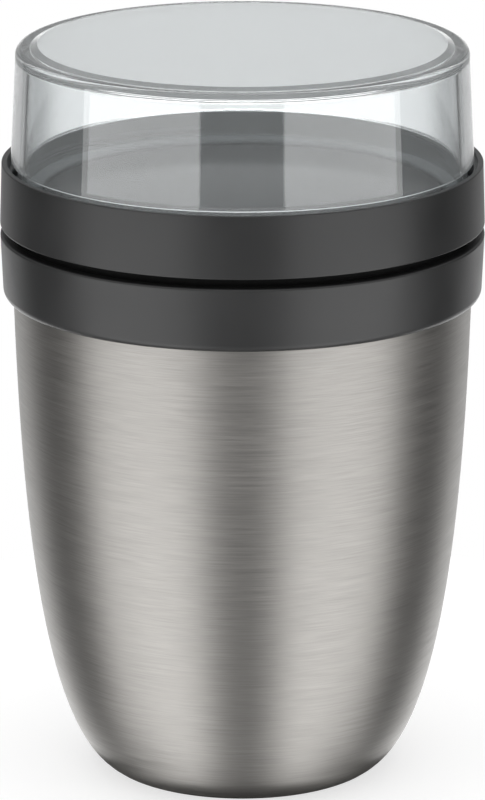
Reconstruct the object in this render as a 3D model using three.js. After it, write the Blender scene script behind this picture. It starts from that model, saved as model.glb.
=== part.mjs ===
// An insulated lunch pot: a double-walled steel pot with a plastic neck, a screw lid with an
// insulated plug, and a clear cup that screws upside down into the lid.
// Millimetres, +Z up. The origin is the centre of the surface that the pot stands on.

import * as THREE from 'three';

// Clearances
const seat = 0.3; // between pieces that lie on or in each other
const weldSeam = 0.15; // between sheet steel edges that are welded

// Steel shell: one smooth curve from the foot to the shoulder
const potHeight = 128.6; // the steel rim
const footRadius = 29.5;
const footRise = 23.6; // degrees above level where the wall leaves the foot
const footPull = 21.6; // how far the curve holds on to that direction
const footRound = 4;
const shoulderLean = 2.2; // degrees from upright where the wall meets the shoulder
const shoulderPull = 18.5; // how far the curve holds on to that direction
const shoulderRise = 2.6; // height of the turn from the wall to the ledge
const shoulderRound = 2;
const neckRound = 1;
const shellWall = 0.6;

// Underside: foot ring, plate with the evacuation hole, and cap
const footRingBore = 24.5;
const footFlange = 3.6; // height of the turned-up edge inside the foot ring
const plateHeight = 2.6;
const plateRim = 1.2; // depth of the plate's turned-down rim
const dimpleRadius = 3.6;
const dimpleHeight = 0.8;
const dimpleSlope = 0.7;
const portRadius = 1;
const beadRadius = 2.8;
const beadHeight = 1;
const capRecess = 0.8; // height of the cap's face above the foot ring
const capWall = 0.6;
const capRound = 0.5;

// Vacuum and liner
const vacuumGap = 3.5;
const neckVacuum = 1.4;
const bottomVacuum = 5.5;
const linerWall = 0.5;
const linerBend = 7; // radius between the liner's floor and its side
const throatRise = 4; // height over which the liner narrows to its throat
const lipRound = 0.25;
const getterRadius = 4;
const getterHeight = 2.2;
const getterOffset = 12;

// Collar
const collarRadius = 53.65; // widest, at the joint with the lid
const collarTaper = 0.6; // how much narrower the collar is at its foot
const collarWall = 1.75; // round the steel shoulder, at the foot
const collarHeight = 14.1;
const collarFootRound = 2;
const collarCover = 2.7; // how far the collar reaches down past the shoulder
const edgeRound = 0.5;
const neckStand = 5.2; // steel rim above the collar's top face
const neckDrop = 0.4; // plastic neck below the steel rim
const neckWall = 1.5;
const neckEdge = 0.4;

// Lid
const lidGap = 2.1; // open joint between collar and lid
const lidWall = 1.75; // skirt, measured at the joint
const lidTaper = 0.45; // how much narrower the lid is at its top
const lidThreadRoom = 1.7; // room between skirt and neck for the screw thread
const lidWeb = 1.3;
const floorRaise = 1; // middle of the lid's floor above the seal's channel
const landRound = 0.3;

// Seals
const potSealHeight = 1.2;
const potSealWidth = 3.4;
const cupSealHeight = 1.5;
const cupSealShow = 3.4; // how far the seal reaches in past the cup's rim
const sealRound = 0.35;

// Plug under the lid, with its insulation
const plugClearance = 1.3; // between plug and steel throat
const plugDepth = 9.6;
const plugWall = 1.5;
const plugRound = 2;
const beadStand = 0.6; // bead that keeps the seal on the plug
const beadDepth = 0.9;

// Cup
const cupGrip = 5.5; // how deep the cup sits in the lid
const cupGap = 0.7; // cup to lid, at the lid's top
const cupShow = 0.3; // step on the cup above the lid's top
const cupThreadRoom = 2.1;
const cupHeight = 31.1;
const cupDraft = 2.98; // degrees
const cupWall = 3.25;
const cupTop = 2.9; // thickness under the raised panel
const cupTopRound = 1.6;
const cupPanelRaise = 0.6; // panel in the cup's top, above the rim round it
const cupPanelRim = 3.3; // width of that rim
const cupPanelSlope = 1.5; // width of the slope up to the panel
const cupInnerRound = 0.8;
const cupEdge = 0.4;

// Facets
const shownSides = 40;
const hiddenSides = 28;
const getterSides = 20;
const curveSteps = 10;
const cornerSteps = 2;
const cornerShare = 0.49; // most of a side that one round may take
const curveTolerance = 1e-6;

// Heights that follow from the sizes above
const collarTop = potHeight - neckStand;
const collarBottom = collarTop - collarHeight;
const shoulderHeight = collarBottom + collarCover;
const ledgeHeight = shoulderHeight + shoulderRise;
const neckTop = potHeight - neckDrop;
const lidBottom = collarTop + lidGap;
const lidUnder = potHeight + seat + potSealHeight + seat;
const channelFloor = lidUnder + lidWeb;
const lidFloor = channelFloor + floorRaise;
const cupSealTop = channelFloor + seat + cupSealHeight;
const cupRim = cupSealTop + seat;
const lidTop = cupRim + cupGrip;
const cupStep = lidTop + cupShow;
const cupRoof = cupRim + cupHeight;
const plateTop = plateHeight + shellWall;
const linerBase = plateTop + bottomVacuum;

// Radii that follow from the sizes above
const collarFootRadius = collarRadius - collarTaper;
const shoulderRadius = collarFootRadius - collarWall - seat;
const lidTopRadius = collarRadius - lidTaper;
const lidBore = collarRadius - lidWall;
const neckRadius = lidBore - lidThreadRoom;
const neckBore = neckRadius - neckWall;
const steelNeck = neckBore - seat;
const throatOuter = steelNeck - shellWall - neckVacuum;
const throatRadius = throatOuter - linerWall;
const plugRadius = throatRadius - plugClearance;
const cupRadius = lidBore - cupGap;
const cupThreadRoot = lidBore - cupThreadRoom;
const draft = Math.tan(THREE.MathUtils.degToRad(cupDraft));
const cupOuterAt = (height) => cupRadius - (height - cupStep) * draft;
const cupInnerAt = (height) => cupOuterAt(height) - cupWall;
const cupSealInner = cupInnerAt(cupRim) - cupSealShow;

const steel = new THREE.MeshStandardMaterial({ color: '#aeaca7', roughness: 0.36, metalness: 1 });
const brightSteel = new THREE.MeshStandardMaterial({ color: '#c9c8c5', roughness: 0.18, metalness: 1 });
const darkPlastic = new THREE.MeshStandardMaterial({ color: '#343536', roughness: 0.5 });
const silicone = new THREE.MeshStandardMaterial({ color: '#7b8082', roughness: 0.7 });
const foam = new THREE.MeshStandardMaterial({ color: '#e9e7e0', roughness: 0.9 });
const solderGlass = new THREE.MeshStandardMaterial({ color: '#3c3a36', roughness: 0.2 });
const getterMetal = new THREE.MeshStandardMaterial({ color: '#6f7072', roughness: 0.6, metalness: 1 });
const clearPlastic = new THREE.MeshStandardMaterial({
  color: '#dfe6e6', roughness: 0.05, transparent: true, opacity: 0.3,
});

// A corner of an outline, at a radius and a height, rounded if it has a third value
const at = (radius, height, round = 0) => ({ point: new THREE.Vector2(radius, height), round });

// Points on the round that joins two sides of an outline: an arc, as a rational curve
function roundOff(before, corner, after, radius) {
  const back = before.clone().sub(corner);
  const ahead = after.clone().sub(corner);
  const half = back.angleTo(ahead) / 2;
  const room = Math.min(back.length(), ahead.length()) * cornerShare;
  const reach = Math.min(radius / Math.tan(half), room);
  const start = corner.clone().addScaledVector(back.normalize(), reach);
  const end = corner.clone().addScaledVector(ahead.normalize(), reach);
  const points = [];
  for (let step = 0; step <= cornerSteps; step += 1) {
    const t = step / cornerSteps;
    const weights = [(1 - t) ** 2, 2 * t * (1 - t) * Math.sin(half), t ** 2];
    const sum = weights[0] + weights[1] + weights[2];
    const point = start.clone().multiplyScalar(weights[0] / sum);
    point.addScaledVector(corner, weights[1] / sum).addScaledVector(end, weights[2] / sum);
    points.push(point);
  }
  return points;
}

// A closed solid of revolution about Z. An outline that starts on the axis also ends there.
function revolve(name, material, sides, corners) {
  const onAxis = corners[0].point.x === 0;
  const points = corners.flatMap((corner, index) => {
    if (corner.round === 0) return [corner.point];
    const before = corners[(index + corners.length - 1) % corners.length].point;
    const after = corners[(index + 1) % corners.length].point;
    return roundOff(before, corner.point, after, corner.round);
  });
  if (!onAxis) points.push(points[0].clone());
  if (THREE.ShapeUtils.area(points) < 0) points.reverse();
  const geometry = new THREE.LatheGeometry(points, sides);
  geometry.rotateX(Math.PI / 2);
  const mesh = new THREE.Mesh(geometry, material);
  mesh.name = name;
  return mesh;
}

// The steel wall's outer curve
function wallCurve() {
  const rise = THREE.MathUtils.degToRad(footRise);
  const lean = THREE.MathUtils.degToRad(shoulderLean);
  const foot = new THREE.Vector2(footRadius, 0);
  const shoulder = new THREE.Vector2(shoulderRadius, shoulderHeight);
  const footHandle = new THREE.Vector2(Math.cos(rise), Math.sin(rise)).multiplyScalar(footPull).add(foot);
  const shoulderHandle = new THREE.Vector2(-Math.sin(lean), -Math.cos(lean));
  shoulderHandle.multiplyScalar(shoulderPull).add(shoulder);
  return new THREE.CubicBezierCurve(foot, footHandle, shoulderHandle, shoulder);
}

const wall = wallCurve();

// A point of the wall's curve, moved in square to the wall
function insetPoint(t, depth) {
  const along = wall.getTangent(t);
  return wall.getPoint(t).add(new THREE.Vector2(-along.y, along.x).multiplyScalar(depth));
}

// The part of the inset curve above a height, from the bottom up
function insetAbove(height, depth) {
  let low = 0;
  let high = 1;
  while (high - low > curveTolerance) {
    const middle = (low + high) / 2;
    if (insetPoint(middle, depth).y < height) low = middle;
    else high = middle;
  }
  const steps = [...Array(curveSteps + 1).keys()];
  return steps.map((step) => insetPoint(high + (1 - high) * step / curveSteps, depth));
}

const asCorners = (points) => points.map((point) => at(point.x, point.y));

function outerShell() {
  const outside = asCorners(wall.getPoints(curveSteps));
  const inside = asCorners(insetAbove(shellWall, shellWall)).reverse();
  const ledgeInside = ledgeHeight - shellWall;
  outside[0].round = footRound;
  return revolve('outer_shell', steel, shownSides, [
    at(footRingBore, 0, edgeRound),
    ...outside,
    at(shoulderRadius, ledgeHeight, shoulderRound),
    at(steelNeck, ledgeHeight, neckRound),
    at(steelNeck, potHeight - linerWall - weldSeam),
    at(steelNeck - shellWall, potHeight - linerWall - weldSeam),
    at(steelNeck - shellWall, ledgeInside, neckRound + shellWall),
    at(shoulderRadius - shellWall, ledgeInside, shoulderRound - shellWall),
    ...inside,
    at(footRingBore + shellWall, shellWall),
    at(footRingBore + shellWall, footFlange),
    at(footRingBore, footFlange),
  ]);
}

function outerBottom() {
  const rim = footRingBore - weldSeam;
  const dimpleTop = plateHeight + dimpleHeight;
  return revolve('outer_bottom', steel, hiddenSides, [
    at(portRadius, dimpleTop),
    at(dimpleRadius, dimpleTop),
    at(dimpleRadius + dimpleSlope, plateHeight),
    at(rim - shellWall, plateHeight),
    at(rim - shellWall, plateHeight - plateRim),
    at(rim, plateHeight - plateRim),
    at(rim, plateTop, edgeRound),
    at(dimpleRadius + dimpleSlope, plateTop),
    at(dimpleRadius, dimpleTop + shellWall),
    at(portRadius, dimpleTop + shellWall),
  ]);
}

// A bead of solder glass that has run under the evacuation hole
function evacuationSeal() {
  const top = plateHeight + dimpleHeight - weldSeam;
  return revolve('evacuation_seal', solderGlass, hiddenSides, [
    at(0, top - beadHeight),
    at(beadRadius, top - beadHeight, beadHeight / 2),
    at(beadRadius, top),
    at(0, top),
  ]);
}

function getterPill() {
  const shape = new THREE.CylinderGeometry(getterRadius, getterRadius, getterHeight, getterSides);
  const pill = new THREE.Mesh(shape, getterMetal);
  pill.name = 'getter';
  pill.rotation.x = Math.PI / 2;
  pill.position.set(getterOffset, 0, plateTop + seat + getterHeight / 2);
  return pill;
}

function baseCap() {
  const radius = footRingBore - weldSeam - shellWall - seat;
  const top = plateHeight - seat;
  return revolve('base_cap', steel, hiddenSides, [
    at(0, capRecess),
    at(radius, capRecess, capRound),
    at(radius, top),
    at(radius - capWall, top),
    at(radius - capWall, capRecess + capWall),
    at(0, capRecess + capWall),
  ]);
}

// The liner follows the shell at the width of the vacuum, narrows to its throat and turns out
// over the shell's edge at the rim.
function innerLiner() {
  const outside = asCorners(insetAbove(linerBase, shellWall + vacuumGap));
  const inside = asCorners(insetAbove(linerBase + linerWall, shellWall + vacuumGap + linerWall)).reverse();
  const throatStart = outside.at(-1).point.y + throatRise;
  outside[0].round = linerBend;
  inside.at(-1).round = linerBend - linerWall;
  return revolve('inner_liner', brightSteel, hiddenSides, [
    at(0, linerBase),
    ...outside,
    at(throatOuter, throatStart),
    at(throatOuter, potHeight - linerWall),
    at(steelNeck, potHeight - linerWall),
    at(steelNeck, potHeight, lipRound),
    at(throatRadius, potHeight, linerWall),
    at(throatRadius, throatStart),
    ...inside,
    at(0, linerBase + linerWall),
  ]);
}

function neckCollar() {
  return revolve('neck_collar', darkPlastic, shownSides, [
    at(shoulderRadius + seat, collarBottom, edgeRound),
    at(collarFootRadius, collarBottom, collarFootRound),
    at(collarRadius, collarTop, edgeRound),
    at(neckRadius, collarTop, edgeRound),
    at(neckRadius, neckTop, neckEdge),
    at(neckBore, neckTop, neckEdge),
    at(neckBore, ledgeHeight + seat, neckRound - seat),
    at(shoulderRadius + seat, ledgeHeight + seat),
  ]);
}

function potSeal() {
  const bottom = potHeight + seat;
  const inner = plugRadius + seat;
  return revolve('pot_seal', silicone, hiddenSides, [
    at(inner, bottom, sealRound),
    at(inner + potSealWidth, bottom, sealRound),
    at(inner + potSealWidth, bottom + potSealHeight, sealRound),
    at(inner, bottom + potSealHeight, sealRound),
  ]);
}

// Skirt, ring and floor of the lid in one moulding. The channel round the floor holds the cup's seal.
function lidBody() {
  const boss = cupSealInner - seat;
  return revolve('lid_body', darkPlastic, shownSides, [
    at(0, lidUnder),
    at(lidBore, lidUnder),
    at(lidBore, lidBottom, edgeRound),
    at(collarRadius, lidBottom, edgeRound),
    at(lidTopRadius, lidTop, edgeRound),
    at(lidBore, lidTop, landRound),
    at(lidBore, channelFloor),
    at(boss, channelFloor),
    at(boss, lidFloor, landRound),
    at(0, lidFloor),
  ]);
}

function lidPlug() {
  const top = lidUnder - seat;
  const bottom = top - plugDepth;
  const beadTop = potHeight;
  return revolve('lid_plug', darkPlastic, hiddenSides, [
    at(0, bottom),
    at(plugRadius, bottom, plugRound),
    at(plugRadius, beadTop - beadDepth),
    at(plugRadius + beadStand, beadTop - beadDepth / 2),
    at(plugRadius, beadTop),
    at(plugRadius, top),
    at(plugRadius - plugWall, top),
    at(plugRadius - plugWall, bottom + plugWall, plugRound / 2),
    at(0, bottom + plugWall),
  ]);
}

function lidInsulation() {
  const radius = plugRadius - plugWall - seat;
  const bottom = lidUnder - seat - plugDepth + plugWall + seat;
  return revolve('lid_insulation', foam, hiddenSides, [
    at(0, bottom),
    at(radius, bottom, plugRound),
    at(radius, lidUnder - seat),
    at(0, lidUnder - seat),
  ]);
}

function cupSeal() {
  const outer = lidBore - 2 * seat;
  const bottom = channelFloor + seat;
  return revolve('cup_seal', silicone, hiddenSides, [
    at(cupSealInner, bottom),
    at(outer, bottom),
    at(outer, cupSealTop, sealRound),
    at(cupSealInner, cupSealTop, cupSealHeight / 2),
  ]);
}

// The cup stands on its rim. The wall steps in below the lid's top, where the screw thread runs.
// A raised panel fills the middle of the top.
function clearCup() {
  const panelTop = cupRoof + cupPanelRaise;
  const panelFoot = cupOuterAt(cupRoof) - cupPanelRim;
  const ceiling = panelTop - cupTop;
  return revolve('clear_cup', clearPlastic, shownSides, [
    at(0, panelTop),
    at(panelFoot - cupPanelSlope, panelTop),
    at(panelFoot, cupRoof),
    at(cupOuterAt(cupRoof), cupRoof, cupTopRound),
    at(cupOuterAt(cupStep), cupStep, cupEdge),
    at(cupThreadRoot, cupStep, cupEdge),
    at(cupThreadRoot, cupRim, cupEdge),
    at(cupInnerAt(cupRim), cupRim, cupEdge),
    at(cupInnerAt(ceiling), ceiling, cupInnerRound),
    at(0, ceiling),
  ]);
}

const pot = new THREE.Group();
pot.add(outerShell(), outerBottom(), evacuationSeal(), getterPill(), baseCap(), innerLiner(), neckCollar());

const lid = new THREE.Group();
lid.add(potSeal(), lidBody(), lidPlug(), lidInsulation());

const cup = new THREE.Group();
cup.add(cupSeal(), clearCup());

const lunchPot = new THREE.Group();
lunchPot.add(pot, lid, cup);

export default lunchPot;
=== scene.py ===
from math import cos, pi, radians, sin, tan

import bmesh
import bpy
from mathutils import Matrix, Vector
from mathutils.geometry import interpolate_bezier


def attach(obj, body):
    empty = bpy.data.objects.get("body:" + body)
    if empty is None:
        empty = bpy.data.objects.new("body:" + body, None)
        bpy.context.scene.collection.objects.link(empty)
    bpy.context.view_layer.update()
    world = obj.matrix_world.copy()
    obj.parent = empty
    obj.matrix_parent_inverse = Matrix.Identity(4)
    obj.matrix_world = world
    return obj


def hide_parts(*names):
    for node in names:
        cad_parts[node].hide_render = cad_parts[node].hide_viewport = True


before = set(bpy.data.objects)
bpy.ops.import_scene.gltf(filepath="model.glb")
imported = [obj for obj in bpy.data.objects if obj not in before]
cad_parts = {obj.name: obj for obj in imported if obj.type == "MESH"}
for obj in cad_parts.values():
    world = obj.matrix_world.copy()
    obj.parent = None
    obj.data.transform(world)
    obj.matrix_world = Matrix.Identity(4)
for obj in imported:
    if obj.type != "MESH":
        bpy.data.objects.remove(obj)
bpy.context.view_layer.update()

mm = 0.001
print("frame loaded:", ", ".join(sorted(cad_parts)))

# camera
cameraSet = {
    "stand": (0, -1.1713, 0.4143),
    "aim": (0, 0, 0.084),
    "lens": 244.9,
    "clip": (0.01, 20),
}


def placeCamera():
    data = bpy.data.cameras.new("camera")
    data.lens = cameraSet["lens"]
    data.clip_start, data.clip_end = cameraSet["clip"]
    camera = bpy.data.objects.new("camera", data)
    bpy.context.scene.collection.objects.link(camera)
    camera.location = cameraSet["stand"]
    sight = Vector(cameraSet["aim"]) - Vector(cameraSet["stand"])
    camera.rotation_euler = sight.to_track_quat("-Z", "Y").to_euler()
    bpy.context.scene.camera = camera


placeCamera()
print("camera placed")


# shader sums: a wrapped socket, on which the plain operators add Math nodes
class Wire:
    def __init__(self, nodes, socket):
        self.nodes, self.socket = nodes, socket

    def sum(self, operation, *values):
        return self.nodes.add("ShaderNodeMath", {"operation": operation}, dict(enumerate(values)))

    def root(self):
        return self.sum("SQRT", self)

    def below(self, limit):
        return self.sum("LESS_THAN", self, limit)

    def between(self, low, high):
        return self.below(high) * (1 - self.below(low))

    # for a count of bounces: true while there are none
    def none(self):
        return self.below(0.5)

    def upTo(self, limit):
        return self.sum("MINIMUM", self, limit)

    # another output of the same node
    def other(self, output):
        return Wire(self.nodes, self.socket.node.outputs[output])

    def __add__(self, other):
        return self.sum("ADD", self, other)

    def __radd__(self, other):
        return self.sum("ADD", other, self)

    def __sub__(self, other):
        return self.sum("SUBTRACT", self, other)

    def __rsub__(self, other):
        return self.sum("SUBTRACT", other, self)

    def __mul__(self, other):
        return self.sum("MULTIPLY", self, other)

    def __rmul__(self, other):
        return self.sum("MULTIPLY", other, self)

    def __truediv__(self, other):
        return self.sum("DIVIDE", self, other)

    def __rtruediv__(self, other):
        return self.sum("DIVIDE", other, self)


class Nodes:
    def __init__(self, tree):
        self.tree = tree
        tree.nodes.clear()

    # any node: its type, its settings, then the values or links of its sockets
    def add(self, kind, settings=None, inputs=None, output=0):
        node = self.tree.nodes.new(kind)
        for key, value in (settings or {}).items():
            setattr(node, key, value)
        for key, value in (inputs or {}).items():
            socket = node.inputs[key]
            if isinstance(value, Wire):
                self.tree.links.new(value.socket, socket)
            else:
                socket.default_value = value
        return Wire(self, node.outputs[output]) if node.outputs else None

    def split(self, vector):
        apart = self.add("ShaderNodeSeparateXYZ", None, {"Vector": vector})
        return [apart.other(axis) for axis in "XYZ"]

    # place on the piece, stretched to so many cells per metre each way
    def spot(self, scale=(1, 1, 1)):
        spot = self.add("ShaderNodeTexCoord", output="Object")
        return self.add("ShaderNodeMapping", None, {"Vector": spot, "Scale": scale})

    # distance from the pot's axis, and height
    def fromAxis(self):
        x, y, z = self.split(self.spot())
        return (x * x + y * y).root(), z

    def noise(self, scale, detail=2, roughness=0.5):
        return self.add("ShaderNodeTexNoise", {"noise_dimensions": "3D"}, {
            "Vector": self.spot(scale), "Scale": 1, "Detail": detail, "Roughness": roughness,
        })

    # a value spread over another range
    def spread(self, value, start, end, curve="LINEAR"):
        return self.add("ShaderNodeMapRange", {"interpolation_type": curve}, {
            "Value": value, "From Min": start[0], "From Max": start[1],
            "To Min": end[0], "To Max": end[1],
        })

    # smooth steps, up to a level or down from it
    def rise(self, value, limits, level=1):
        return self.spread(value, limits, (0, level), "SMOOTHSTEP")

    def fall(self, value, limits, level=1):
        return self.spread(value, limits, (level, 0), "SMOOTHSTEP")

    def mixColour(self, share, first, second):
        return self.add("ShaderNodeMix", {"data_type": "RGBA"}, {
            "Factor": share, 6: first, 7: second,
        }, output=2)

    def shade(self, share, look):
        return self.mixColour(share, look["dark"], look["light"])

    def bump(self, height, strength, distance):
        return self.add("ShaderNodeBump", None, {
            "Height": height, "Strength": strength, "Distance": distance,
        })

    def principled(self, inputs):
        return self.add("ShaderNodeBsdfPrincipled", None, inputs)


def newMaterial(name):
    material = bpy.data.materials.new(name)
    material.use_nodes = True
    return material, Nodes(material.node_tree)


def finishMaterial(material, nodes, surface):
    nodes.add("ShaderNodeOutputMaterial", None, {"Surface": surface})
    return material


def rgb(red, green, blue):
    return (red, green, blue, 1)


def evenly(scale):
    return (scale, scale, scale)


# finishes: scales are in cells per metre, and a bump is its strength and its height in metres
noiseSpan = (0.3, 0.7)              # where most of a noise lies
mixedSpan = (0.35, 0.65)            # and of two noises added
whole = (0, 1)

brushedSteelSet = {
    "dark": rgb(0.299, 0.290, 0.277),
    "light": rgb(0.396, 0.382, 0.364),
    "roughness": (0.46, 0.52),
    "anisotropy": 0.6, "turn": 0.25,
    "fine": (110, 110, 4200),       # brush marks round and up
    "broad": (45, 45, 1300),
    "fineShare": 0.65, "span": (0.32, 0.68),
    "bump": (0.4, 0.00002),
}


def brushedSteel():
    material, nodes = newMaterial("brushed steel")
    fine = nodes.noise(brushedSteelSet["fine"], detail=3, roughness=0.6)
    broad = nodes.noise(brushedSteelSet["broad"])
    share = brushedSteelSet["fineShare"]
    marks = fine * share + broad * (1 - share)
    return finishMaterial(material, nodes, nodes.principled({
        "Base Color": nodes.shade(nodes.spread(marks, brushedSteelSet["span"], whole), brushedSteelSet),
        "Metallic": 1,
        "Roughness": nodes.spread(broad, noiseSpan, brushedSteelSet["roughness"]),
        "Anisotropic": brushedSteelSet["anisotropy"],
        "Anisotropic Rotation": brushedSteelSet["turn"],
        "Normal": nodes.bump(marks, *brushedSteelSet["bump"]),
    }))


pressedSteelSet = {
    "dark": rgb(0.56, 0.55, 0.53),
    "light": rgb(0.66, 0.65, 0.63),
    "roughness": (0.32, 0.44),
    "rings": 1500, "waver": 0.6,    # turning marks outwards, a little uneven
    "cloud": 160,
    "bump": (0.2, 0.00002),
}


def pressedSteel():
    material, nodes = newMaterial("pressed steel")
    radius = nodes.fromAxis()[0]
    cloud = nodes.noise(evenly(pressedSteelSet["cloud"]), detail=3, roughness=0.55)
    rings = nodes.add("ShaderNodeTexNoise", {"noise_dimensions": "1D"}, {
        "W": radius * pressedSteelSet["rings"] + cloud * pressedSteelSet["waver"],
        "Scale": 1, "Detail": 2,
    })
    return finishMaterial(material, nodes, nodes.principled({
        "Base Color": nodes.shade(nodes.spread(rings, noiseSpan, whole), pressedSteelSet),
        "Metallic": 1,
        "Roughness": nodes.spread(cloud, noiseSpan, pressedSteelSet["roughness"]),
        "Normal": nodes.bump(rings, *pressedSteelSet["bump"]),
    }))


brightSteelSet = {
    "dark": rgb(0.62, 0.62, 0.61),
    "light": rgb(0.70, 0.70, 0.69),
    "roughness": (0.16, 0.26),
    "marks": (60, 60, 2600), "markShare": 0.5, "span": (0.32, 0.68),
    "cloud": 90,
    "bump": (0.12, 0.00002),
}


def brightSteel():
    material, nodes = newMaterial("bright steel")
    marks = nodes.noise(brightSteelSet["marks"], detail=3, roughness=0.6)
    cloud = nodes.noise(evenly(brightSteelSet["cloud"]))
    share = brightSteelSet["markShare"]
    mixed = cloud * (1 - share) + marks * share
    return finishMaterial(material, nodes, nodes.principled({
        "Base Color": nodes.shade(nodes.spread(marks, brightSteelSet["span"], whole), brightSteelSet),
        "Metallic": 1,
        "Roughness": nodes.spread(mixed, mixedSpan, brightSteelSet["roughness"]),
        "Normal": nodes.bump(marks, *brightSteelSet["bump"]),
    }))


darkPlasticSet = {
    "dark": rgb(0.0160, 0.0162, 0.0165),
    "light": rgb(0.0200, 0.0202, 0.0206),
    "roughness": (0.36, 0.44),
    "grain": 3200, "grainShare": 0.4,
    "cloud": 70,
    "bump": (0.05, 0.00003), "ior": 1.5,
    "floorRadius": 0.0455, "floorHeight": 0.1315, "floorPolish": 0.25,      # the lid's floor is smoother
    "neckRadius": (0.0485, 0.0513), "neckTop": 0.1285, "neckMatt": 0.5,     # the neck in the gap under the lid is matt, and its colour is painted shade
    # painted shade: near black, standing for the shade in the gap between the lid's ring and the collar
    "neck": rgb(0.004, 0.004, 0.004),
}


def darkPlastic():
    material, nodes = newMaterial("dark plastic")
    grain = nodes.noise(evenly(darkPlasticSet["grain"]))
    cloud = nodes.noise(evenly(darkPlasticSet["cloud"]))
    share = darkPlasticSet["grainShare"]
    mixed = cloud * (1 - share) + grain * share
    radius, height = nodes.fromAxis()
    floor = radius.below(darkPlasticSet["floorRadius"]) * (1 - height.below(darkPlasticSet["floorHeight"]))
    # painted shade on the neck where it lies in the gap under the lid's ring, with a matter finish there
    neck = radius.between(*darkPlasticSet["neckRadius"]) * height.below(darkPlasticSet["neckTop"])
    plain = nodes.shade(nodes.spread(cloud, noiseSpan, whole), darkPlasticSet)
    return finishMaterial(material, nodes, nodes.principled({
        "Base Color": nodes.mixColour(neck, plain, darkPlasticSet["neck"]),
        "Roughness": (nodes.spread(mixed, mixedSpan, darkPlasticSet["roughness"])
                      - floor * darkPlasticSet["floorPolish"]
                      + neck * darkPlasticSet["neckMatt"]),
        "IOR": darkPlasticSet["ior"],
        "Normal": nodes.bump(grain, *darkPlasticSet["bump"]),
    }))


siliconeSet = {
    "dark": rgb(0.050, 0.053, 0.055),
    "light": rgb(0.064, 0.068, 0.070),
    "roughness": (0.55, 0.68),
    "grain": 2200, "cloud": 120,
    "bump": (0.1, 0.00004), "ior": 1.42,
}


def silicone():
    material, nodes = newMaterial("silicone")
    grain = nodes.noise(evenly(siliconeSet["grain"]))
    cloud = nodes.noise(evenly(siliconeSet["cloud"]))
    return finishMaterial(material, nodes, nodes.principled({
        "Base Color": nodes.shade(nodes.spread(cloud, noiseSpan, whole), siliconeSet),
        "Roughness": nodes.spread(cloud, noiseSpan, siliconeSet["roughness"]),
        "IOR": siliconeSet["ior"],
        "Normal": nodes.bump(grain, *siliconeSet["bump"]),
    }))


clearPlasticSet = {
    "colour": rgb(0.962, 0.983, 0.990),
    "shadow": rgb(0.90, 0.92, 0.92),
    "roughness": (0.012, 0.03),
    "cloud": 60,
    "clear": 0.965,
    "ior": 1.57,
}


# shadow rays go straight through, so that the lamps light what is inside
def clearPlastic():
    material, nodes = newMaterial("clear plastic")
    cloud = nodes.noise(evenly(clearPlasticSet["cloud"]))
    wall = nodes.principled({
        "Base Color": clearPlasticSet["colour"],
        "Roughness": nodes.spread(cloud, noiseSpan, clearPlasticSet["roughness"]),
        "IOR": clearPlasticSet["ior"],
        "Transmission Weight": clearPlasticSet["clear"],
    })
    through = nodes.add("ShaderNodeBsdfTransparent", None, {"Color": clearPlasticSet["shadow"]})
    shadowRay = nodes.add("ShaderNodeLightPath", output="Is Shadow Ray")
    surface = nodes.add("ShaderNodeMixShader", None, {"Fac": shadowRay, 1: wall, 2: through})
    return finishMaterial(material, nodes, surface)


foamSet = {
    "dark": rgb(0.62, 0.60, 0.55),
    "light": rgb(0.82, 0.81, 0.77),
    "roughness": 0.9,
    "cells": 900, "span": (0.1, 0.6),
    "bump": (0.4, 0.0003),
}


def foam():
    material, nodes = newMaterial("foam")
    cells = nodes.add("ShaderNodeTexVoronoi", None, {
        "Vector": nodes.spot(evenly(foamSet["cells"])), "Scale": 1,
    })
    return finishMaterial(material, nodes, nodes.principled({
        "Base Color": nodes.shade(nodes.spread(cells, foamSet["span"], whole), foamSet),
        "Roughness": foamSet["roughness"],
        "Normal": nodes.bump(cells, *foamSet["bump"]),
    }))


solderGlassSet = {
    "dark": rgb(0.03, 0.027, 0.024),
    "light": rgb(0.07, 0.062, 0.052),
    "roughness": (0.12, 0.3),
    "flow": 700,
    "bump": (0.2, 0.0001),
}


def solderGlass():
    material, nodes = newMaterial("solder glass")
    flow = nodes.noise(evenly(solderGlassSet["flow"]), detail=3, roughness=0.6)
    return finishMaterial(material, nodes, nodes.principled({
        "Base Color": nodes.shade(flow, solderGlassSet),
        "Roughness": nodes.spread(flow, noiseSpan, solderGlassSet["roughness"]),
        "Normal": nodes.bump(flow, *solderGlassSet["bump"]),
    }))


getterMetalSet = {
    "dark": rgb(0.11, 0.11, 0.115),
    "light": rgb(0.22, 0.22, 0.225),
    "roughness": (0.5, 0.75),
    "grain": 2600,
    "bump": (0.5, 0.00008),
}


def getterMetal():
    material, nodes = newMaterial("sintered metal")
    grain = nodes.noise(evenly(getterMetalSet["grain"]), detail=3, roughness=0.6)
    return finishMaterial(material, nodes, nodes.principled({
        "Base Color": nodes.shade(grain, getterMetalSet),
        "Metallic": 1,
        "Roughness": nodes.spread(grain, noiseSpan, getterMetalSet["roughness"]),
        "Normal": nodes.bump(grain, *getterMetalSet["bump"]),
    }))


finishes = {
    "brushed_steel": brushedSteel(),
    "pressed_steel": pressedSteel(),
    "bright_steel": brightSteel(),
    "dark_plastic": darkPlastic(),
    "silicone": silicone(),
    "clear_plastic": clearPlastic(),
    "foam": foam(),
    "solder_glass": solderGlass(),
    "getter_metal": getterMetal(),
}
print("finishes made:", len(finishes))

# turned pieces: an outline of corners (radius, height, round) in mm, spun about Z
turning = {
    "steps": 192, "roundSteps": 8,
    "sharpAngle": radians(35),
    "merge": 1e-7,
    "hold": 0.06, "holdRatio": 3, "straight": 0.001,
}


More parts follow.
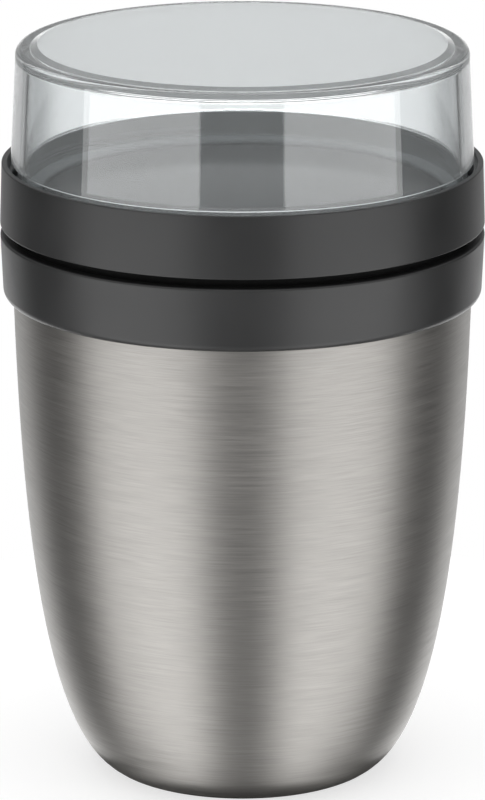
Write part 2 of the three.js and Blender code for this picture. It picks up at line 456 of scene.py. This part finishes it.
def outline(bm, corners, closed):
    verts = [bm.verts.new((corner[0] * mm, 0, corner[1] * mm)) for corner in corners]
    pairs = list(zip(verts, verts[1:]))
    if closed:
        pairs.append((verts[-1], verts[0]))
    for pair in pairs:
        bm.edges.new(pair)
    rounds = []
    for vert, corner in zip(verts, corners):
        if len(corner) > 2:
            sides = [edge.other_vert(vert).co - vert.co for edge in vert.link_edges]
            rounds.append((vert, corner[2] * mm / tan(sides[0].angle(sides[1]) / 2)))
    for vert, reach in rounds:
        bmesh.ops.bevel(bm, geom=[vert], offset=reach, offset_type="OFFSET", affect="VERTICES",
                        segments=turning["roundSteps"], profile=0.5, material=-1)
    holdFlats(bm)


# a point close to each end of a long straight run, so that smooth shading leaves the run flat
def holdFlats(bm):
    reach = turning["hold"] * mm
    holds = []
    for edge in bm.edges:
        for vert in edge.verts:
            beside = [other.calc_length() for other in vert.link_edges if other != edge]
            if beside and edge.calc_length() > turning["holdRatio"] * beside[0]:
                holds.append((vert, edge.other_vert(vert)))
    for vert, far in holds:
        edge = next(edge for edge in vert.link_edges if edge.calc_length() >= 2 * reach
                    and (edge.other_vert(vert).co - vert.co).angle(far.co - vert.co) < turning["straight"])
        bmesh.utils.edge_split(edge, vert, reach / edge.calc_length())


def spinOutline(bm, steps):
    bmesh.ops.spin(bm, geom=bm.verts[:] + bm.edges[:], cent=(0, 0, 0), axis=(0, 0, 1),
                   dvec=(0, 0, 0), angle=2 * pi, steps=steps, use_merge=True, use_duplicate=False)
    bmesh.ops.remove_doubles(bm, verts=bm.verts[:], dist=turning["merge"])
    bmesh.ops.recalc_face_normals(bm, faces=bm.faces[:])


# a closed outline makes a ring, an open one a sheet or a piece that meets the axis
def turnPiece(corners, closed=False, steps=turning["steps"]):
    bm = bmesh.new()
    outline(bm, corners, closed)
    spinOutline(bm, steps)
    return bm


ridgeSet = {"stepAngle": 3, "fewestSteps": 6, "endShrink": (0.12, 0.12, 0.4)}


# a screw ridge: one flat section, run up round the axis, with its ends drawn down to the root
def addRidge(bm, ridge, startAngle):
    root, crest = ridge["root"], ridge["crest"]
    base, top = ridge["foot"] / 2, ridge["tip"] / 2
    places = [(root, -base), (crest, -top), (crest, top), (root, base)]
    verts = [bm.verts.new((radius * mm, 0, (ridge["start"] + rise) * mm)) for radius, rise in places]
    first = bm.faces.new(verts)
    turn = radians(ridge["arc"])
    steps = max(ridgeSet["fewestSteps"], int(ridge["arc"] / ridgeSet["stepAngle"]))
    climb = ridge["lead"] * mm * turn / (2 * pi) / steps
    bmesh.ops.rotate(bm, verts=verts, cent=(0, 0, 0), matrix=Matrix.Rotation(startAngle, 3, "Z"))
    made = bmesh.ops.spin(bm, geom=[first] + first.edges[:] + first.verts[:],
                          cent=(0, 0, 0), axis=(0, 0, 1), dvec=(0, 0, climb), angle=turn,
                          steps=steps, use_merge=False, use_duplicate=False)
    last = [item for item in made["geom_last"] if isinstance(item, bmesh.types.BMVert)]
    for end in (verts, last):
        middle = sum((vert.co for vert in end), Vector()) / len(end)
        low = Vector((middle.x, middle.y, 0)).normalized() * root * mm
        low.z = middle.z
        bmesh.ops.scale(bm, verts=end, vec=ridgeSet["endShrink"], space=Matrix.Translation(-low))


def addRidges(bm, ridge):
    for start in range(ridge["starts"]):
        ridges = bmesh.new()
        addRidge(ridges, ridge, radians(ridge["turn"]) + start * 2 * pi / ridge["starts"])
        bmesh.ops.recalc_face_normals(ridges, faces=ridges.faces[:])
        loose = bpy.data.meshes.new("ridge")
        ridges.to_mesh(loose)
        ridges.free()
        bm.from_mesh(loose)
        bpy.data.meshes.remove(loose)


def putOnStage(bm, name, finish, body, *nodes):
    mesh = bpy.data.meshes.new(name)
    bm.to_mesh(mesh)
    bm.free()
    mesh.shade_smooth()
    mesh.set_sharp_from_angle(angle=turning["sharpAngle"])
    mesh.materials.append(finishes[finish])
    piece = bpy.data.objects.new(name, mesh)
    bpy.context.scene.collection.objects.link(piece)
    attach(piece, body)
    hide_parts(*nodes)
    print("made", name, len(mesh.polygons), "faces")


# steel pot
shellSet = {
    "height": 127.95, "neckRadius": 48.4, "neckRound": 1,
    "shoulder": (51, 112), "shoulderLean": 2.2, "shoulderPull": 18.5,
    "shoulderRise": 2.6, "shoulderRound": 2,
    "foot": 29.5, "footRise": 23.6, "footPull": 21.6, "footRound": 4,
    "ringBore": 24.5, "ringRound": 0.5, "flange": 3.6,
    "wall": 0.6, "skinAt": (51, 0, 100), "curveSteps": 48,
}


def sideCurve(steps):
    rise, lean = radians(shellSet["footRise"]), radians(shellSet["shoulderLean"])
    foot = Vector((shellSet["foot"], 0))
    shoulder = Vector(shellSet["shoulder"])
    footHandle = foot + shellSet["footPull"] * Vector((cos(rise), sin(rise)))
    shoulderHandle = shoulder - shellSet["shoulderPull"] * Vector((sin(lean), cos(lean)))
    return interpolate_bezier(foot, footHandle, shoulderHandle, shoulder, steps)


# sheet: the outline is the outer skin, and the wall goes in from it;
# the face nearest to skinAt tells whether the skin faces outwards
def giveWall(bm, thickness, skinAt):
    point = Vector(skinAt) * mm
    nearest = min(bm.faces, key=lambda face: (face.calc_center_median() - point).length)
    outward = nearest.calc_center_median()
    outward.z = 0
    if nearest.normal.dot(outward) < 0:
        bmesh.ops.reverse_faces(bm, faces=bm.faces[:])
    bmesh.ops.solidify(bm, geom=bm.faces[:], thickness=thickness * mm)


def makeShell():
    side = [(point.x, point.y) for point in sideCurve(shellSet["curveSteps"])]
    side[0] = (*side[0], shellSet["footRound"])
    ledge = shellSet["shoulder"][1] + shellSet["shoulderRise"]
    bm = turnPiece([
        (shellSet["ringBore"], shellSet["flange"]),
        (shellSet["ringBore"], 0, shellSet["ringRound"]),
        *side,
        (shellSet["shoulder"][0], ledge, shellSet["shoulderRound"]),
        (shellSet["neckRadius"], ledge, shellSet["neckRound"]),
        (shellSet["neckRadius"], shellSet["height"]),
    ])
    giveWall(bm, shellSet["wall"], shellSet["skinAt"])
    putOnStage(bm, "steel_shell", "brushed_steel", "pot", "outer_shell")


makeShell()

linerSet = {
    "base": 8.7, "rim": 128.6, "wall": 0.5, "inset": 4.1, "bend": 7, "bendRoom": 1.1,
    "throat": 46.4, "throatRise": 4, "throatRound": 2, "lip": 48.4, "lipRound": 0.4,
    "skinAt": (46, 0, 60), "curveSteps": 200, "keepEvery": 5,
}


# the liner's outer skin runs beside the shell's curve, one vacuum gap in
def makeLiner():
    base, lipHeight = linerSet["base"], linerSet["rim"] - linerSet["wall"]
    points = sideCurve(linerSet["curveSteps"])
    inner = []
    for before, point, after in zip(points, points[1:], points[2:]):
        along = (after - before).normalized()
        inner.append(point + linerSet["inset"] * Vector((-along.y, along.x)))
    inner = [point for point in inner if point.y > base]
    bendTop = base + linerSet["bend"] * linerSet["bendRoom"]
    side = [(inner[0].x, base, linerSet["bend"])]
    side += [(point.x, point.y) for point in inner[::linerSet["keepEvery"]] if point.y > bendTop]
    bm = turnPiece([
        (0, base),
        *side,
        (linerSet["throat"], side[-1][1] + linerSet["throatRise"], linerSet["throatRound"]),
        (linerSet["throat"], lipHeight, linerSet["lipRound"]),
        (linerSet["lip"], lipHeight),
    ])
    giveWall(bm, linerSet["wall"], linerSet["skinAt"])
    putOnStage(bm, "steel_liner", "bright_steel", "pot", "inner_liner")


makeLiner()

capSet = {
    "radius": 23.45, "face": 0.8, "top": 2.3, "wall": 0.6, "round": 0.5,
    "groove": 0.25, "grooveRound": 0.5, "grooveEdge": 0.3,
    "grooveStart": (0.55, 0.62), "grooveEnd": (0.90, 0.94),     # shares of the radius
}


def makeBaseCap():
    radius, face = capSet["radius"], capSet["face"]
    raised = face + capSet["groove"]
    inner, inside = radius - capSet["wall"], face + capSet["wall"] + capSet["groove"]
    bm = turnPiece([
        (0, face),
        (radius * capSet["grooveStart"][0], face),
        (radius * capSet["grooveStart"][1], raised, capSet["grooveRound"]),
        (radius * capSet["grooveEnd"][0], raised, capSet["grooveRound"]),
        (radius * capSet["grooveEnd"][1], face, capSet["grooveEdge"]),
        (radius, face, capSet["round"]),
        (radius, capSet["top"]),
        (inner, capSet["top"]),
        (inner, inside),
        (0, inside),
    ])
    putOnStage(bm, "foot_cap", "pressed_steel", "pot", "base_cap")


makeBaseCap()

collarSet = {
    "foot": 53.05, "footHeight": 109.3, "footRound": 1.64, "bore": 51.3, "boreEdge": 0.4,
    "top": 53.65, "topHeight": 123.4, "edge": 0.5,
    "neck": 50.2, "neckTop": 128.2, "neckEdge": 0.5, "neckFoot": 0.5, "neckBore": 48.7,
    "ledge": 114.9, "ledgeRound": 0.7, "ledgeEdge": 0.3,
    "ridge": {"root": 50.1, "crest": 51.1, "foot": 2.0, "tip": 0.7, "start": 126.0, "lead": 12,
              "arc": 30, "starts": 4, "turn": 12},
}


def makeCollar():
    bm = turnPiece([
        (collarSet["bore"], collarSet["footHeight"], collarSet["boreEdge"]),
        (collarSet["foot"], collarSet["footHeight"], collarSet["footRound"]),
        (collarSet["top"], collarSet["topHeight"], collarSet["edge"]),
        (collarSet["neck"], collarSet["topHeight"], collarSet["neckFoot"]),
        (collarSet["neck"], collarSet["neckTop"], collarSet["neckEdge"]),
        (collarSet["neckBore"], collarSet["neckTop"], collarSet["boreEdge"]),
        (collarSet["neckBore"], collarSet["ledge"], collarSet["ledgeRound"]),
        (collarSet["bore"], collarSet["ledge"], collarSet["ledgeEdge"]),
    ], closed=True)
    addRidges(bm, collarSet["ridge"])
    putOnStage(bm, "collar", "dark_plastic", "pot", "neck_collar")


makeCollar()

# lid and the seal under it
potSealSet = {"inner": 44.9, "outer": 48.3, "bottom": 128.9, "top": 130.1, "round": 0.35}


def makePotSeal():
    bm = turnPiece([
        (potSealSet["inner"], potSealSet["bottom"], potSealSet["round"]),
        (potSealSet["outer"], potSealSet["bottom"], potSealSet["round"]),
        (potSealSet["outer"], potSealSet["top"], potSealSet["round"]),
        (potSealSet["inner"], potSealSet["top"], potSealSet["round"]),
    ], closed=True)
    putOnStage(bm, "pot_ring", "silicone", "lid_gasket", "pot_seal")


makePotSeal()

lidSet = {
    "joint": 53.65, "bottom": 125.5, "top": 53.2, "topHeight": 139.3, "edge": 0.25, "land": 0.3,
    "bore": 51.9, "under": 130.4, "underRound": 0.4,
    "channel": 131.7, "channelRound": 0.2, "floor": 132.7, "boss": 44.57,
    "skirtRidge": {"root": 52.0, "crest": 51.35, "foot": 1.6, "tip": 0.6, "start": 126.6, "lead": 12,
                   "arc": 50, "starts": 4, "turn": 60},
    "cupRidge": {"root": 52.0, "crest": 51.05, "foot": 1.5, "tip": 0.5, "start": 134.9, "lead": 4,
                 "arc": 300, "starts": 1, "turn": 100},
}


def makeLid():
    bm = turnPiece([
        (0, lidSet["under"]),
        (lidSet["bore"], lidSet["under"], lidSet["underRound"]),
        (lidSet["bore"], lidSet["bottom"], lidSet["land"]),
        (lidSet["joint"], lidSet["bottom"], lidSet["edge"]),
        (lidSet["top"], lidSet["topHeight"], lidSet["edge"]),
        (lidSet["bore"], lidSet["topHeight"], lidSet["land"]),
        (lidSet["bore"], lidSet["channel"], lidSet["channelRound"]),
        (lidSet["boss"], lidSet["channel"], lidSet["channelRound"]),
        (lidSet["boss"], lidSet["floor"], lidSet["land"]),
        (0, lidSet["floor"]),
    ])
    addRidges(bm, lidSet["skirtRidge"])
    addRidges(bm, lidSet["cupRidge"])
    putOnStage(bm, "lid", "dark_plastic", "lid", "lid_body")


makeLid()

plugSet = {
    "radius": 44.6, "bottom": 120.5, "top": 130.1, "wall": 1.5, "round": 2, "innerRound": 1,
    "beadLow": 127.7, "bead": 45.2, "beadHigh": 128.6, "beadRound": 0.3,
}


def makePlug():
    inner = plugSet["radius"] - plugSet["wall"]
    inside = plugSet["bottom"] + plugSet["wall"]
    bm = turnPiece([
        (0, plugSet["bottom"]),
        (plugSet["radius"], plugSet["bottom"], plugSet["round"]),
        (plugSet["radius"], plugSet["beadLow"]),
        (plugSet["bead"], (plugSet["beadLow"] + plugSet["beadHigh"]) / 2, plugSet["beadRound"]),
        (plugSet["radius"], plugSet["beadHigh"]),
        (plugSet["radius"], plugSet["top"]),
        (inner, plugSet["top"]),
        (inner, inside, plugSet["innerRound"]),
        (0, inside),
    ])
    putOnStage(bm, "plug", "dark_plastic", "lid", "lid_plug")


makePlug()

# cup and its seal
cupSealSet = {"inner": 44.87, "outer": 51.3, "bottom": 132.0, "top": 133.5, "round": 0.35, "lip": 0.75}


def makeCupSeal():
    bm = turnPiece([
        (cupSealSet["inner"], cupSealSet["bottom"]),
        (cupSealSet["outer"], cupSealSet["bottom"]),
        (cupSealSet["outer"], cupSealSet["top"], cupSealSet["round"]),
        (cupSealSet["inner"], cupSealSet["top"], cupSealSet["lip"]),
    ], closed=True)
    putOnStage(bm, "cup_ring", "silicone", "cup_gasket", "cup_seal")


makeCupSeal()

cupSet = {
    "panel": 165.5, "panelEdge": 45.1, "panelFoot": 46.6, "panelRound": 0.8,
    "roof": 164.9, "roofRadius": 49.9, "roofRound": 1.6,
    "step": 139.6, "stepRadius": 51.2, "edge": 0.4,
    "threadRoot": 49.8, "rim": 133.8, "rimBore": 48.27,
    "ceiling": 162.6, "ceilingRadius": 46.77, "ceilingRound": 0.8,
    "steps": 256,
}


def makeCup():
    bm = turnPiece([
        (0, cupSet["panel"]),
        (cupSet["panelEdge"], cupSet["panel"], cupSet["panelRound"]),
        (cupSet["panelFoot"], cupSet["roof"], cupSet["panelRound"]),
        (cupSet["roofRadius"], cupSet["roof"], cupSet["roofRound"]),
        (cupSet["stepRadius"], cupSet["step"], cupSet["edge"]),
        (cupSet["threadRoot"], cupSet["step"], cupSet["edge"]),
        (cupSet["threadRoot"], cupSet["rim"], cupSet["edge"]),
        (cupSet["rimBore"], cupSet["rim"], cupSet["edge"]),
        (cupSet["ceilingRadius"], cupSet["ceiling"], cupSet["ceilingRound"]),
        (0, cupSet["ceiling"]),
    ], steps=cupSet["steps"])
    putOnStage(bm, "cup", "clear_plastic", "cup", "clear_cup")


makeCup()

# inner pieces keep their solids and get a finish of their own
innerFinishes = {
    "outer_bottom": "pressed_steel",
    "evacuation_seal": "solder_glass",
    "getter": "getter_metal",
    "lid_insulation": "foam",
}
for node, finish in innerFinishes.items():
    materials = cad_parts[node].data.materials
    materials.clear()
    materials.append(finishes[finish])
print("inner pieces finished")

# the floor is white to the camera, keeps a faint shadow, and does not hide the pot from below;
# mirrors see only a ring of it close to the foot
floorSet = {
    "radius": 0.16, "segments": 96,
    "colour": rgb(0.36, 0.36, 0.36),
    "glow": 0.7,
    "mirrored": (0.0285, 0.037),
}


def makeFloor():
    bm = bmesh.new()
    bmesh.ops.create_circle(bm, cap_ends=True, segments=floorSet["segments"], radius=floorSet["radius"])
    mesh = bpy.data.meshes.new("floor")
    bm.to_mesh(mesh)
    bm.free()
    material, nodes = newMaterial("pale floor")
    path = nodes.add("ShaderNodeLightPath")
    matt = nodes.add("ShaderNodeBsdfDiffuse", None, {"Color": floorSet["colour"]})
    glow = nodes.add("ShaderNodeEmission", None, {
        "Strength": path.other("Is Camera Ray") * floorSet["glow"],
    })
    white = nodes.add("ShaderNodeAddShader", None, {0: matt, 1: glow})
    near = nodes.fromAxis()[0].between(*floorSet["mirrored"])
    below = nodes.add("ShaderNodeNewGeometry", output="Backfacing")
    surface = nodes.add("ShaderNodeMixShader", None, {
        "Fac": ((1 - near) * path.other("Is Glossy Ray") + below).upTo(1),
        1: white,
        2: nodes.add("ShaderNodeBsdfTransparent"),
    })
    mesh.materials.append(finishMaterial(material, nodes, surface))
    floor = bpy.data.objects.new("floor", mesh)
    bpy.context.scene.collection.objects.link(floor)


makeFloor()

# a tall softbox on each side with a lower one under it, a dark gap between the sides behind
# the camera, and one box overhead that mirrors do not see
lampSet = {
    "sides": {
        "left": {"away": -0.5, "front": -1.315, "back": -0.072, "low": -0.42, "high": 0.10},
        "right": {"away": 0.5, "front": -1.35, "back": -0.077, "low": -0.42, "high": 0.10},
        "low left": {"away": -0.5, "front": -1.315, "back": -0.17, "low": -1.5, "high": -0.42},
        "low right": {"away": 0.5, "front": -1.35, "back": -0.175, "low": -1.5, "high": -0.42},
    },
    "radiance": 1.78,
    "topSize": 1.2, "topHeight": 1.1, "topRadiance": 2.0,
    "watts": 4,                     # per square metre and unit of radiance
}


def addLamp(name, place, aim, width, height, radiance):
    data = bpy.data.lights.new(name, "AREA")
    data.shape = "RECTANGLE"
    data.size, data.size_y = width, height
    data.energy = radiance * lampSet["watts"] * width * height
    lamp = bpy.data.objects.new(name, data)
    bpy.context.scene.collection.objects.link(lamp)
    lamp.location = place
    lamp.rotation_euler = (Vector(aim) - Vector(place)).to_track_quat("-Z", "Y").to_euler()
    lamp.visible_camera = False
    return lamp


def placeLamps():
    for side, box in lampSet["sides"].items():
        middle = (box["front"] + box["back"]) / 2
        centre = (box["low"] + box["high"]) / 2
        addLamp(side + " softbox", (box["away"], middle, centre), (0, middle, centre),
                box["back"] - box["front"], box["high"] - box["low"], lampSet["radiance"])
    size = lampSet["topSize"]
    top = addLamp("top softbox", (0, 0, lampSet["topHeight"]), (0, 0, 0),
                  size, size, lampSet["topRadiance"])
    top.visible_glossy = False


placeLamps()

# what mirrors see, by bearing (1 straight behind the pot, -1 towards the camera) and by height
worldSet = {
    "ambient": 0.4,                                             # light on matt surfaces
    "dim": 0.06,                                                # all round
    "behind": 0.37, "behindFrom": (0.80, 0.845),                # pale behind
    "straight": 0.12, "straightFrom": (0.92, 1),                # a little more straight behind
    "behindUpTo": (0.06, 0.42),
    "horizon": 0.5, "horizonFrom": (0.965, 0.995), "horizonUpTo": (0.02, 0.17),
    "below": 2.0, "belowFrom": (0.62, 0.8), "belowUpTo": (-0.32, -0.22),       # white behind and below
    "front": 0.4, "frontUpTo": (-0.2, 0.4),                     # a glow in front, low down and high up
    "frontLow": (-0.95, -0.2), "frontHigh": (-0.04, 0.16),
    "above": 0.4, "aboveFrom": (0.22, 0.5),
    "flag": 0.42, "flagFrom": (0.79, 0.83), "flagTo": (0.975, 0.993),   # two flags seen through the cup
    "least": 0.0001,                                            # keeps the bearing finite straight up
}


# the camera sees white, also through the clear cup, where two grey flags stand beside it
def makeWorld():
    world = bpy.data.worlds.new("studio")
    bpy.context.scene.world = world
    world.use_nodes = True
    nodes = Nodes(world.node_tree)
    x, y, z = nodes.split(nodes.add("ShaderNodeTexCoord", output="Generated"))
    bearing = y / ((x * x + y * y).root() + worldSet["least"])
    behind = (nodes.rise(bearing, worldSet["behindFrom"], worldSet["behind"])
              + nodes.rise(bearing, worldSet["straightFrom"], worldSet["straight"]))
    pale = behind * nodes.fall(z, worldSet["behindUpTo"])
    horizon = (nodes.rise(bearing, worldSet["horizonFrom"], worldSet["horizon"])
               * nodes.fall(z, worldSet["horizonUpTo"]))
    low = nodes.fall(z, worldSet["belowUpTo"])
    white = nodes.rise(bearing, worldSet["belowFrom"], worldSet["below"])
    front = nodes.fall(bearing, worldSet["frontUpTo"]) * (
        nodes.fall(z, worldSet["frontLow"], worldSet["front"])
        + nodes.rise(z, worldSet["frontHigh"], worldSet["front"]))
    above = nodes.rise(z, worldSet["aboveFrom"], worldSet["above"])
    flags = (nodes.rise(bearing, worldSet["flagFrom"])
             * nodes.fall(bearing, worldSet["flagTo"], worldSet["flag"]))
    studio = (pale + horizon) * (1 - low) + white * low + front + above + worldSet["dim"]
    path = nodes.add("ShaderNodeLightPath")
    camera, glossy, through, mirrors, scatters = (path.other(name) for name in (
        "Is Camera Ray", "Is Glossy Ray", "Is Transmission Ray", "Glossy Depth", "Diffuse Depth"))
    direct = scatters.none()
    seen = (camera + through).upTo(1) * direct * mirrors.none()
    mirrored = glossy * direct * (1 - seen)
    background = 1 - (1 - camera) * flags
    strength = seen * background + mirrored * studio + (1 - seen - mirrored) * worldSet["ambient"]
    sky = nodes.add("ShaderNodeBackground", None, {"Color": rgb(1, 1, 1), "Strength": strength})
    nodes.add("ShaderNodeOutputWorld", None, {"Surface": sky})


makeWorld()
bpy.context.scene.view_settings.view_transform = "Standard"
bpy.context.scene.cycles.max_bounces = 24              # light runs a long way inside the clear wall
bpy.context.scene.cycles.glossy_bounces = 8
bpy.context.scene.cycles.transmission_bounces = 16
print("floor, lamps and world placed")
